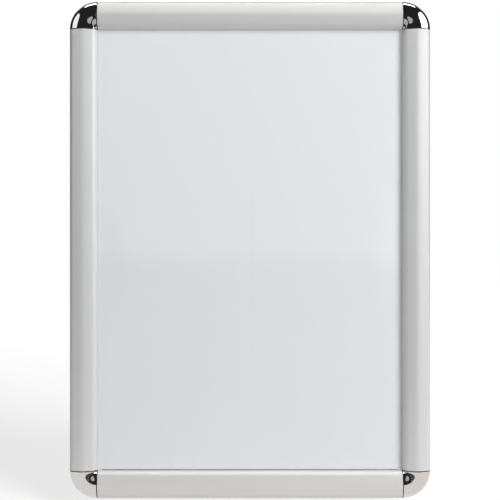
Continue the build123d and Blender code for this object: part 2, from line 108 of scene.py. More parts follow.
class Side(Enum):
    """A side of the frame: its outer edge, way in, way along, and the springs' end names."""

    LEFT = ((-1, 0, 0), (1, 0, 0), (0, 0, -1), ("lower", "upper"))
    RIGHT = ((1, 0, 0), (-1, 0, 0), (0, 0, 1), ("upper", "lower"))
    TOP = ((0, 0, 1), (0, 0, -1), (-1, 0, 0), ("left", "right"))
    BOTTOM = ((0, 0, -1), (0, 0, 1), (1, 0, 0), ("right", "left"))

    @property
    def label(self) -> str:
        """Name of the side as the CAD nodes write it."""
        return self.name.lower()

    @property
    def upright(self) -> bool:
        """Whether the rail of this side stands upright."""
        return self in (Side.LEFT, Side.RIGHT)

    def point(self, u: float, v: float, along: float) -> Point:
        """Turn a place in a rail's section into a point of the frame.

        Args:
            u: Distance in from the outer edge.
            v: Height off the wall.
            along: Distance along the rail from its middle.

        Returns:
            The point in the shared frame.
        """
        edge, inwards, lengthways, _ = self.value
        x, y, z = (
            edge[i] * HALF_SIZE[i] + inwards[i] * u + lengthways[i] * along for i in range(3)
        )
        return (x, y - v, z)


class Corner(Enum):
    """Corners of the frame, as the CAD nodes name them."""

    TOP_LEFT = "top_left"
    TOP_RIGHT = "top_right"
    BOTTOM_LEFT = "bottom_left"
    BOTTOM_RIGHT = "bottom_right"


class Grain(Enum):
    """Direction that a drawn surface's fine lines run in."""

    SIDEWAYS = X_AXIS
    UPRIGHT = Z_AXIS

    def stretch(self, across: float, along: float) -> Point:
        """Texture scale that is coarse along the grain and fine across it.

        Args:
            across: Cycles per metre across the grain.
            along: Cycles per metre along it.

        Returns:
            The scale along each axis.
        """
        scale = [across, across, across]
        scale[self.value] = along
        return (scale[0], scale[1], scale[2])


class Tree:
    """Node tree of one material, with short calls for the nodes that the finishes share."""

    def __init__(self, name: str) -> None:
        """Start a material with a Principled shader on its output.

        Args:
            name: Name of the material.
        """
        self.material = bpy.data.materials.new(name)
        self.material.use_nodes = True
        self.nodes = self.material.node_tree.nodes
        self.links = self.material.node_tree.links
        self.nodes.clear()
        self.output = self.nodes.new("ShaderNodeOutputMaterial")
        self.shader = self.nodes.new("ShaderNodeBsdfPrincipled")
        self.link(self.shader.outputs["BSDF"], self.output.inputs["Surface"])
        self.place = self.nodes.new("ShaderNodeTexCoord").outputs["Object"]

    def link(self, source: Socket, target: Socket) -> None:
        """Join two sockets."""
        self.links.new(source, target)

    def fill(self, socket: Socket, value: object) -> None:
        """Give a socket a link or a constant.

        Args:
            socket: Input socket to fill.
            value: Another node's output, a number or a tuple.
        """
        if isinstance(value, Socket):
            self.link(value, socket)
        elif socket.type == "RGBA":
            socket.default_value = (*value, 1.0)
        else:
            socket.default_value = value

    def fill_all(self, node: bpy.types.Node, values: dict[str, object]) -> None:
        """Fill a node's sockets with values by name, with underscores for spaces."""
        for name, value in values.items():
            self.fill(node.inputs[name.replace("_", " ")], value)

    def set(self, **values: object) -> None:
        """Fill the Principled shader's sockets by name."""
        self.fill_all(self.shader, values)

    def add(self, kind: str, **values: object) -> bpy.types.Node:
        """Add a node and fill its sockets.

        Args:
            kind: Blender's name for the node's type.
            **values: Links or constants by socket name.

        Returns:
            The new node.
        """
        node = self.nodes.new(kind)
        self.fill_all(node, values)
        return node

    def stretched(self, scale: float | Point) -> Socket:
        """The object's own coordinates, scaled evenly or by a factor for each axis."""
        factors = scale if isinstance(scale, tuple) else (scale, scale, scale)
        return self.add("ShaderNodeMapping", Vector=self.place, Scale=factors).outputs["Vector"]

    def noise(self, scale: float | Point, detail: float = 3.0, roughness: float = 0.55) -> Socket:
        """Noise value from 0 to 1.

        Args:
            scale: Cycles per metre along each axis, or one for all three.
            detail: Octaves of finer noise.
            roughness: Weight of the finer octaves.

        Returns:
            The value's socket.
        """
        place = self.stretched(scale)
        node = self.add(
            "ShaderNodeTexNoise", Vector=place, Scale=1.0, Detail=detail, Roughness=roughness
        )
        return node.outputs["Fac"]

    def speckle(self, scale: float) -> Socket:
        """Distance to the nearest of so many scattered points per metre, in their spacing."""
        node = self.add("ShaderNodeTexVoronoi", Vector=self.stretched(scale), Scale=1.0)
        return node.outputs["Distance"]

    def remap(self, value: Socket, given: Range, wanted: Range) -> Socket:
        """Stretch one range of values onto another, eased and clamped at both ends.

        Args:
            value: Value to stretch.
            given: Range that the value comes in.
            wanted: Range that it goes to.

        Returns:
            The stretched value's socket.
        """
        node = self.add("ShaderNodeMapRange", Value=value)
        node.interpolation_type = "SMOOTHSTEP"
        for name, (low, high) in (("From", given), ("To", wanted)):
            node.inputs[f"{name} Min"].default_value = low
            node.inputs[f"{name} Max"].default_value = high
        return node.outputs["Result"]

    def maths(self, operation: str, first: object, second: object = 0.0) -> Socket:
        """Combine two values, or change one, by a named operation.

        Args:
            operation: Blender's name of the operation.
            first: First value, a socket or a number.
            second: Second value, where the operation has one.

        Returns:
            The result's socket.
        """
        node = self.nodes.new("ShaderNodeMath")
        node.operation = operation
        self.fill(node.inputs[0], first)
        self.fill(node.inputs[1], second)
        return node.outputs[0]

    def blend(self, share: Socket, first: object, second: object) -> Socket:
        """Mix two colours by a share.

        Args:
            share: Share of the second colour.
            first: First colour, a socket or three numbers.
            second: Second colour, a socket or three numbers.

        Returns:
            The mixed colour's socket.
        """
        node = self.nodes.new("ShaderNodeMix")
        node.data_type = "RGBA"
        self.link(share, node.inputs[0])
        self.fill(node.inputs[MIX_FIRST], first)
        self.fill(node.inputs[MIX_SECOND], second)
        return node.outputs[MIX_RESULT]

    def axis(self, index: int) -> Socket:
        """One of the object's own coordinates, by the number of its axis."""
        return self.add("ShaderNodeSeparateXYZ", Vector=self.place).outputs[index]

    def softened_edges(self, radius: float) -> Socket:
        """Normal that rounds sharp edges off.

        Args:
            radius: Radius of the rounding.

        Returns:
            The normal's socket.
        """
        node = self.add("ShaderNodeBevel", Radius=radius)
        node.samples = EDGE_SAMPLES
        return node.outputs["Normal"]

    def worn_edges(self, radius: float) -> Socket:
        """Share from 0 on flats to 1 on sharp edges.

        Args:
            radius: How far from an edge the wear reaches.

        Returns:
            The share's socket.
        """
        geometry = self.nodes.new("ShaderNodeNewGeometry")
        turn = self.nodes.new("ShaderNodeVectorMath")
        turn.operation = "DOT_PRODUCT"
        self.link(self.softened_edges(radius), turn.inputs[0])
        self.link(geometry.outputs["Normal"], turn.inputs[1])
        return self.remap(turn.outputs["Value"], EDGE_TURN, WHOLE)

    def bump(
        self, height: Socket, strength: float, distance: float, normal: Optional[Socket] = None
    ) -> Socket:
        """Normal roughened by a height.

        Args:
            height: Socket that gives the height.
            strength: Share of the effect.
            distance: Height in metres for a value of 1.
            normal: Normal to roughen, where it isn't the surface's own.

        Returns:
            The new normal's socket.
        """
        node = self.add("ShaderNodeBump", Strength=strength, Distance=distance, Height=height)
        if normal is not None:
            self.link(normal, node.inputs["Normal"])
        return node.outputs["Normal"]


@dataclass(frozen=True)
class Finish:
    """A finish that makes one material. Each bump is given by its strength and its depth."""

    name: str
    colour: Colour
    roughness: float

    def material(self) -> bpy.types.Material:
        """The finish's material, made on first use."""
        found = bpy.data.materials.get(self.name)
        return found if found is not None else self.make()

    def make(self) -> bpy.types.Material:
        """Build the finish's material."""
        raise NotImplementedError

    def shade(self, share: float) -> Colour:
        """The finish's colour, darkened or lightened by a share."""
        return (self.colour[0] * share, self.colour[1] * share, self.colour[2] * share)

    def spread(self, reach: float) -> Range:
        """Range of roughness, as far on both sides of the finish's own."""
        return (self.roughness - reach, self.roughness + reach)

    def dress(self, piece: bpy.types.Object) -> None:
        """Put the finish on a piece's material slots.

        Args:
            piece: Piece to finish.
        """
        if not piece.data.materials:
            piece.data.materials.append(self.material())
        for slot in range(len(piece.data.materials)):
            piece.data.materials[slot] = self.material()


@dataclass(frozen=True)
class DrawnMetal(Finish):
    """Extruded metal with fine lines along its length.

    An etched and anodised skin scatters part of the light, so it counts as only partly metallic.
    """

    grain: Grain
    contrast: float
    metallic: float = 1.0
    edge_radius: float = 0.2 * MM
    line_cycles: Range = (5200, 9)
    streak_cycles: Range = (420, 2.5)
    cloud_cycles: float = 22
    shares: Point = (0.45, 0.35, 0.2)
    rubbed_shade: float = 1.08
    roughness_reach: float = 0.05
    line_bump: Range = (0.25, 0.004 * MM)

    def make(self) -> bpy.types.Material:
        """Build streaked colour and roughness, shallow lines and softened edges.

        Returns:
            The metal's material.
        """
        tree = Tree(self.name)
        lines = tree.noise(self.grain.stretch(*self.line_cycles), detail=4)
        streaks = tree.noise(self.grain.stretch(*self.streak_cycles), detail=2)
        clouds = tree.noise(self.cloud_cycles)
        parts = zip((lines, streaks, clouds), self.shares)
        fine, coarse, uneven = (tree.maths("MULTIPLY", *part) for part in parts)
        mixed = tree.maths("ADD", tree.maths("ADD", fine, coarse), uneven)
        share = tree.remap(mixed, NOISE_SPAN, WHOLE)
        worn = tree.worn_edges(self.edge_radius)
        softened = tree.softened_edges(self.edge_radius)
        drawn = tree.blend(share, self.shade(1 - self.contrast), self.shade(1 + self.contrast))
        tree.set(
            Base_Color=tree.blend(worn, drawn, self.shade(self.rubbed_shade)),
            Metallic=self.metallic,
            Roughness=tree.remap(mixed, NOISE_SPAN, self.spread(self.roughness_reach)),
            Normal=tree.bump(lines, *self.line_bump, softened),
        )
        return tree.material


@dataclass(frozen=True)
class Chrome(Finish):
    """Bright plating with faint smears and hairlines, which stops short of the hidden tongues.

    The plated front lies outside both sides of the window. What reaches past them, in under the
    rails' ends, is painted near-black: painted shade that darkens the gaps at the rails' ends.
    """

    window: Range
    # Painted shade: near-black on the tongues under the rails' ends, to darken the gaps there.
    gap_shade: Colour = (0.012, 0.012, 0.013)
    gap_shade_margin: float = 0.03 * MM
    gap_shade_roughness: float = 0.6
    edge_radius: float = 0.25 * MM
    rubbed_shade: float = 0.9
    smear_cycles: float = 90
    smear_span: Range = (0.45, 0.75)
    smear_reach: float = 0.07
    hairline_cycles: Point = (3200, 1500, 260)
    hairline_bump: Range = (0.12, 0.0015 * MM)
    ripple_cycles: float = 240
    ripple_bump: Range = (0.5, 0.012 * MM)

    def painted_gap_shade(self, tree: Tree) -> Socket:
        """Share of painted gap shade: 1 on the tongues and caps' end faces, 0 on the plated front.

        Args:
            tree: Tree to add the nodes to.

        Returns:
            The share's socket.
        """
        past = []
        for axis, half in ((X_AXIS, self.window[0]), (Z_AXIS, self.window[1])):
            reach = tree.maths("ABSOLUTE", tree.axis(axis))
            past.append(tree.maths("LESS_THAN", reach, half + self.gap_shade_margin))
        return tree.maths("MAXIMUM", *past)

    def make(self) -> bpy.types.Material:
        """Build the plating: near-mirror metal, smeared in places, over a faintly uneven base.

        Returns:
            The plating's material.
        """
        tree = Tree(self.name)
        smears = tree.noise(self.smear_cycles, detail=4, roughness=0.6)
        hairlines = tree.noise(self.hairline_cycles, detail=2)
        ripple = tree.noise(self.ripple_cycles, detail=1)
        worn = tree.worn_edges(self.edge_radius)
        softened = tree.softened_edges(self.edge_radius)
        # Painted shade: the tongues are near-black so that the gaps at the rails' ends look dark.
        gap_shade = self.painted_gap_shade(tree)
        glossiest, dullest = self.roughness, self.roughness + self.smear_reach
        smeared = tree.remap(smears, self.smear_span, (glossiest, dullest))
        gap_shade_roughness = tree.maths("MULTIPLY", gap_shade, self.gap_shade_roughness)
        plated = tree.blend(worn, self.colour, self.shade(self.rubbed_shade))
        rippled = tree.bump(ripple, *self.ripple_bump, softened)
        tree.set(
            Base_Color=tree.blend(gap_shade, plated, self.gap_shade),
            Metallic=1.0,
            Roughness=tree.maths("MAXIMUM", smeared, gap_shade_roughness),
            Normal=tree.bump(hairlines, *self.hairline_bump, rippled),
        )
        return tree.material


@dataclass(frozen=True)
class MouldedPlastic(Finish):
    """Moulded plastic with a fine spark-eroded texture and paler edges."""

    pebble_cycles: float
    pebble_bump: Range = (0.4, 0.03 * MM)
    cloud_cycles: float = 30
    cloud_shades: Range = (0.93, 1.07)
    edge_radius: float = 0.3 * MM
    rubbed_shade: float = 1.25
    roughness_reach: float = 0.06
    refraction: float = 1.52

    def make(self) -> bpy.types.Material:
        """Build the plastic: speckled colour, pebbled surface and edges rubbed paler.

        Returns:
            The plastic's material.
        """
        tree = Tree(self.name)
        pebbles = tree.speckle(self.pebble_cycles)
        clouds = tree.noise(self.cloud_cycles, detail=4)
        worn = tree.worn_edges(self.edge_radius)
        softened = tree.softened_edges(self.edge_radius)
        mottled = tree.blend(clouds, *map(self.shade, self.cloud_shades))
        tree.set(
            Base_Color=tree.blend(worn, mottled, self.shade(self.rubbed_shade)),
            Roughness=tree.remap(clouds, NOISE_SPAN, self.spread(self.roughness_reach)),
            IOR=self.refraction,
            Normal=tree.bump(pebbles, *self.pebble_bump, softened),
        )
        return tree.material


@dataclass(frozen=True)
class PressedSteel(Finish):
    """Tempered or plated steel with a clouded tint and worn edges."""

    tint: Colour
    bright: Colour = (0.72, 0.72, 0.73)
    edge_radius: float = 0.1 * MM
    cloud_cycles: float = 160
    cloud_span: Range = (0.35, 0.7)
    rolled_cycles: Point = (2600, 900, 2600)
    rolled_bump: Range = (0.3, 0.004 * MM)
    roughness_reach: float = 0.07

    def make(self) -> bpy.types.Material:
        """Build the steel: two tints in clouds, fine rolled texture and bright edges.

        Returns:
            The steel's material.
        """
        tree = Tree(self.name)
        clouds = tree.noise(self.cloud_cycles)
        rolled = tree.noise(self.rolled_cycles)
        worn = tree.worn_edges(self.edge_radius)
        softened = tree.softened_edges(self.edge_radius)
        tinted = tree.blend(tree.remap(clouds, self.cloud_span, WHOLE), self.colour, self.tint)
        tree.set(
            Base_Color=tree.blend(worn, tinted, self.bright),
            Metallic=1.0,
            Roughness=tree.remap(rolled, NOISE_SPAN, self.spread(self.roughness_reach)),
            Normal=tree.bump(rolled, *self.rolled_bump, softened),
        )
        return tree.material


@dataclass(frozen=True)
class Paper(Finish):
    """White paper with fibres, painted shade along its creases and below the level fold."""

    fold_height: float
    crease_top: float
    crease_bottom: float
    crease_width: float = 0.45 * MM
    crease_fade: float = 25 * MM
    # Painted shade: darker lines along the creases, and a darker band below the level fold.
    level_crease_shade: float = 0.35
    crease_shade_strength: float = 0.6
    crease_shade_tone: float = 0.84
    step_reach: float = 11 * MM
    fold_shade_reach: float = 230 * MM
    least_fold_shade: float = 0.2
    fold_shade_tone: float = 0.955
    fibre_cycles: Point = (2400, 2400, 1500)
    fibre_shades: Range = (0.975, 1.02)
    fibre_bump: Range = (0.3, 0.02 * MM)
    cloud_cycles: float = 14
    refraction: float = 1.45

    def painted_crease_shade(self, tree: Tree) -> Socket:
        """Share of painted shade along the upright crease and, more faintly, along the level one.

        Args:
            tree: Tree to add the nodes to.

        Returns:
            The share's socket.
        """
        height, width, fade = tree.axis(Z_AXIS), self.crease_width, self.crease_fade
        across = tree.maths("ABSOLUTE", tree.axis(X_AXIS))
        upright = tree.remap(across, (width, 0.0), WHOLE)
        below_top = tree.remap(height, (self.crease_top, self.crease_top - fade), WHOLE)
        above_bottom = tree.remap(height, (self.crease_bottom, self.crease_bottom + fade), WHOLE)
        upright = tree.maths("MULTIPLY", upright, tree.maths("MULTIPLY", below_top, above_bottom))
        away = tree.maths("ABSOLUTE", tree.maths("SUBTRACT", height, self.fold_height))
        level = tree.maths("MULTIPLY", tree.remap(away, (width, 0.0), WHOLE), self.level_crease_shade)
        return tree.maths("MAXIMUM", upright, level)

    def painted_fold_shade(self, tree: Tree) -> Socket:
        """Share of the painted fold shade, strongest just below the level fold.

        Args:
            tree: Tree to add the nodes to.

        Returns:
            The share's socket.
        """
        height, fold, reach = tree.axis(Z_AXIS), self.fold_height, self.step_reach
        step = tree.remap(height, (fold + reach, fold - reach), WHOLE)
        lower_half = (fold - self.fold_shade_reach, fold - reach)
        fading = tree.remap(height, lower_half, (self.least_fold_shade, 1.0))
        return tree.maths("MULTIPLY", step, fading)

    def make(self) -> bpy.types.Material:
        """Build the paper: mottled fibres and painted shade at the creases and below the fold.

        Returns:
            The paper's material.
        """
        tree = Tree(self.name)
        fibres = tree.noise(self.fibre_cycles, detail=5, roughness=0.65)
        clouds = tree.noise(self.cloud_cycles)
        mottled = tree.blend(fibres, *map(self.shade, self.fibre_shades))
        mottled = tree.blend(clouds, mottled, self.colour)
        # Painted shade: darker just below the level fold and along the creases.
        mottled = tree.blend(self.painted_fold_shade(tree), mottled, self.shade(self.fold_shade_tone))
        painted_crease_shade = tree.maths("MULTIPLY", self.painted_crease_shade(tree), self.crease_shade_strength)
        tree.set(
            Base_Color=tree.blend(painted_crease_shade, mottled, self.shade(self.crease_shade_tone)),
            Roughness=self.roughness,
            IOR=self.refraction,
            Normal=tree.bump(fibres, *self.fibre_bump),
        )
        return tree.material


@dataclass(frozen=True)
class ClearFilm(Finish):
    """Thin anti-glare film: a veil over what lies under it, with a soft sheen."""

    veil: float
    window: Range
    # Painted shade: a dark patchy line on the film along the seam over the bottom rail's lip.
    seam_shade: Colour = (0.10, 0.098, 0.092)
    seam_shade_cover: float = 0.95
    seam_shade_depth: float = 1.1 * MM
    seam_shade_ends: Range = (2 * MM, 6 * MM)
    patch_cycles: float = 60
    patch_span: Range = (0.25, 0.5)
    thinnest_patch: float = 0.75
    grain_cycles: float = 5200
    grain_bump: Range = (0.15, 0.006 * MM)
    cloud_cycles: float = 9
    cloud_shades: Range = (0.99, 1.01)
    roughness_reach: float = 0.04
    refraction: float = 1.46

    def painted_seam_shade(self, tree: Tree) -> Socket:
        """Share of the painted seam shade, a dark patchy line over the bottom rail's lip.

        Args:
            tree: Tree to add the nodes to.

        Returns:
            The share's socket.
        """
        half_width, half_height = self.window
        seam = (self.seam_shade_depth - half_height, -half_height)
        under_lip = tree.remap(tree.axis(Z_AXIS), seam, WHOLE)
        across = tree.maths("ABSOLUTE", tree.axis(X_AXIS))
        fade = (half_width - self.seam_shade_ends[0], half_width - self.seam_shade_ends[1])
        ends = tree.remap(across, fade, WHOLE)
        clouds = tree.noise(self.patch_cycles)
        patches = tree.remap(clouds, self.patch_span, (self.thinnest_patch, 1.0))
        return tree.maths("MULTIPLY", tree.maths("MULTIPLY", under_lip, ends), patches)

    def make(self) -> bpy.types.Material:
        """Build the film: milky, see-through, with a fine matt grain and painted seam shade.

        Returns:
            The film's material.
        """
        tree = Tree(self.name)
        grain = tree.noise(self.grain_cycles, detail=2)
        clouds = tree.noise(self.cloud_cycles, detail=2)
        # Painted shade darkens the film along the seam over the bottom rail.
        seam_shade = self.painted_seam_shade(tree)
        seam_shade_opacity = tree.maths("MULTIPLY", seam_shade, self.seam_shade_cover)
        milky = tree.blend(clouds, *map(self.shade, self.cloud_shades))
        tree.set(
            Base_Color=tree.blend(seam_shade, milky, self.seam_shade),
            Roughness=tree.remap(grain, NOISE_SPAN, self.spread(self.roughness_reach)),
            IOR=self.refraction,
            Alpha=tree.maths("MAXIMUM", seam_shade_opacity, self.veil),
            Normal=tree.bump(grain, *self.grain_bump),
        )
        return tree.material


@dataclass(frozen=True)
class Finishes:
    """Every finish of the frame."""

    upright_rail: Finish = DrawnMetal(
        "satin_rail_upright", (0.712, 0.72, 0.725), 0.58, Grain.UPRIGHT, 0.02, metallic=0.35
    )
    level_rail: Finish = DrawnMetal(
        "satin_rail_level", (0.718, 0.72, 0.710), 0.58, Grain.SIDEWAYS, 0.02, metallic=0.35
    )
    upright_base: Finish = DrawnMetal(
        "mill_base_upright", (0.66, 0.66, 0.67), 0.36, Grain.UPRIGHT, 0.06
    )
    level_base: Finish = DrawnMetal(
        "mill_base_level", (0.66, 0.66, 0.67), 0.36, Grain.SIDEWAYS, 0.06
    )
    cap: Finish = Chrome("cap_plating", (0.64, 0.635, 0.63), 0.045, WINDOW)
    bracket: Finish = MouldedPlastic("bracket_nylon", (0.045, 0.046, 0.05), 0.48, 1700)
    board: Finish = MouldedPlastic("board_styrene", (0.70, 0.70, 0.69), 0.55, 900)
    spring: Finish = PressedSteel("blued_spring", (0.16, 0.18, 0.24), 0.34, (0.24, 0.20, 0.18))
    screw: Finish = PressedSteel("zinc_screw", (0.66, 0.67, 0.70), 0.30, (0.62, 0.62, 0.52))


def mesh_piece(
    name: str, points: np.ndarray, faces: Sequence[Sequence[int]], smooth: bool = True
) -> bpy.types.Object:
    """Make an object from points and faces, with its place in its mesh.

    Args:
        name: Name of the piece.
        points: Corner points in the shared frame.
        faces: Corner indices of each face.
        smooth: Whether faces are shaded smooth, up to a sharp edge.

    Returns:
        The new object.
    """
    mesh = bpy.data.meshes.new(name)
    mesh.from_pydata([tuple(map(float, p)) for p in points], [], [tuple(f) for f in faces])
    mesh.validate()
    if smooth:
        mesh.polygons.foreach_set("use_smooth", [True] * len(mesh.polygons))
        mesh.set_sharp_from_angle(angle=SHARP_ANGLE)
    piece = bpy.data.objects.new(name, mesh)
    bpy.context.scene.collection.objects.link(piece)
    return piece


@dataclass
class Rails:
    """The four hinged front rails and the four base rails behind them."""

    finishes: Finishes

    def dress(self) -> list[bpy.types.Object]:
        """Put the drawn finishes on all eight rails.

        Returns:
            The rails.
        """
        rails = []
        for side in Side:
            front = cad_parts[f"front_rail_{side.label}"]
            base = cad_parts[f"base_rail_{side.label}"]
            if side.upright:
                self.finishes.upright_rail.dress(front)
                self.finishes.upright_base.dress(base)
            else:
                self.finishes.level_rail.dress(front)
                self.finishes.level_base.dress(base)
            rails += [front, base]
        return rails


@dataclass
class Corners:
    """The chromed caps and the moulded brackets under them."""

    finishes: Finishes

    def dress(self) -> list[bpy.types.Object]:
        """Put the plating on the caps and the plastic on the brackets.

        Returns:
            The caps and brackets.
        """
        pieces = []
        for corner in Corner:
            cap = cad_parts[f"corner_cap_{corner.value}"]
            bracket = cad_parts[f"corner_bracket_{corner.value}"]
            self.finishes.cap.dress(cap)
            self.finishes.bracket.dress(bracket)
            pieces += [cap, bracket]
        return pieces


@dataclass
class Fixings:
    """The backing board and the screws."""

    finishes: Finishes

    def dress(self) -> list[bpy.types.Object]:
        """Put the finishes on the board and the screws.

        Returns:
            The board and both sets of screws.
        """
        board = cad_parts["backing_board"]
        self.finishes.board.dress(board)
        screws = [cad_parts[name] for name in ("bracket_screws", "cap_screws")]
        for screw in screws:
            self.finishes.screw.dress(screw)
        return [board, *screws]


@dataclass
class Springs:
    """Eight bent steel strips, two to a side, that push a front rail past its centre."""

    finishes: Finishes
    thickness: float = 0.4 * MM
    bend_radius: float = 0.9 * MM
    bend_steps: int = 8
    width_steps: int = 20
    longest_step: float = 0.35 * MM
    foot_taper: float = 1.2 * MM
    route: tuple[Range, ...] = (
        (3.6, 2.68), (5.3, 2.68), (5.3, 7.2), (8.6496, 7.2), (8.6496, 1.7), (10.2496, 1.7),
    )
    fixed_spot: Range = (6.0 * MM, 4.0 * MM)
    moved_spot: Range = (3.2 * MM, 3.5 * MM)

    def centre_line(self) -> np.ndarray:
        """Strip's middle line in u and v, with its corners rounded.

        Returns:
            Points along the line.
        """
        corners = np.array(self.route) * MM
        line = [corners[0]]
        for before, corner, after in zip(corners, corners[1:], corners[2:]):
            back = (before - corner) / np.linalg.norm(before - corner)
            onward = (after - corner) / np.linalg.norm(after - corner)
            centre = corner + (back + onward) * self.bend_radius
            for step in range(self.bend_steps + 1):
                angle = math.pi / 2 * step / self.bend_steps
                spoke = -onward * math.cos(angle) - back * math.sin(angle)
                line.append(centre + spoke * self.bend_radius)
        line.append(corners[-1])
        return self.divided(np.array(line))

    def divided(self, line: np.ndarray) -> np.ndarray:
        """Line with its long straights divided, so that it bends evenly.

        Args:
            line: Points along the line.

        Returns:
            The same line with more points.
        """
        points = [line[0]]
        for start, end in zip(line, line[1:]):
            count = max(1, math.ceil(float(np.linalg.norm(end - start)) / self.longest_step))
            points += [start + (end - start) * (i + 1) / count for i in range(count)]
        return np.array(points)

    def strip(self, side: Side, low: float, high: float) -> np.ndarray:
        """Points of the strip's skin, in rows that follow its bends and go once round its width.

        Args:
            side: Side of the frame that it belongs to.
            low: Where the strip starts along the rail.
            high: Where the strip ends along the rail.

        Returns:
            Points by row and by place in the row.
        """
        line = self.centre_line()
        ways = np.gradient(line, axis=0)
        ways /= np.linalg.norm(ways, axis=1)[:, None]
        out = np.stack([-ways[:, 1], ways[:, 0]], 1) * self.thickness / 2
        run = np.concatenate([[0], np.cumsum(np.linalg.norm(np.diff(line, axis=0), axis=1))])
        from_end = np.minimum(run, run[-1] - run)
        taper = self.foot_taper * np.clip(1 - from_end / self.foot_taper, 0, 1) ** 2
        front = [(1, step) for step in range(self.width_steps + 1)]
        back = [(-1, step) for step in reversed(range(self.width_steps + 1))]
        rows = []
        for face, step in front + back:
            along = low + taper + (high - low - 2 * taper) * (step / self.width_steps)
            section = line + out * face
            rows.append([side.point(*spot, reach) for spot, reach in zip(section, along)])
        return np.array(rows)

    @staticmethod
    def skin(around: int, count: int) -> list[tuple[int, ...]]:
        """Faces of the strip's skin, with both feet's ends closed.

        Args:
            around: Number of rows, once round the strip's width.
            count: Number of points in a row.

        Returns:
            Corner indices of each face.
        """
        faces = []
        for i in range(around):
            here, there = i * count, (i + 1) % around * count
            faces += [(here + j, here + j + 1, there + j + 1, there + j) for j in range(count - 1)]
        for place, turn in ((0, 1), (count - 1, -1)):
            rim = [i * count + place for i in range(around)]
            for i in range(around // 2 - 1):
                quad = (rim[i], rim[i + 1], rim[around - 2 - i], rim[around - 1 - i])
                faces.append(quad[::turn])
        return faces

    def build(self, side: Side, end: str) -> bpy.types.Object:
        """Make one spring, where its CAD node is.

        Args:
            side: Side of the frame that it belongs to.
            end: Name of its end of the side.

        Returns:
            The spring, which stands for its CAD node.
        """
        axis = Z_AXIS if side.upright else X_AXIS
        way = side.value[2][axis]
        low, high = sorted(corner[axis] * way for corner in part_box(f"spring_{side.label}_{end}"))
        grid = self.strip(side, low, high)
        faces = self.skin(*grid.shape[:2])
        spring = mesh_piece(f"snap_spring_{side.label}_{end}", grid.reshape(-1, 3), faces)
        self.finishes.spring.dress(spring)
        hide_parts(f"spring_{side.label}_{end}")
        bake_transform(spring)
        return spring

    def build_all(self) -> list[bpy.types.Object]:
        """Make the eight springs, two to a side."""
        return [self.build(side, end) for side in Side for end in side.value[3]]


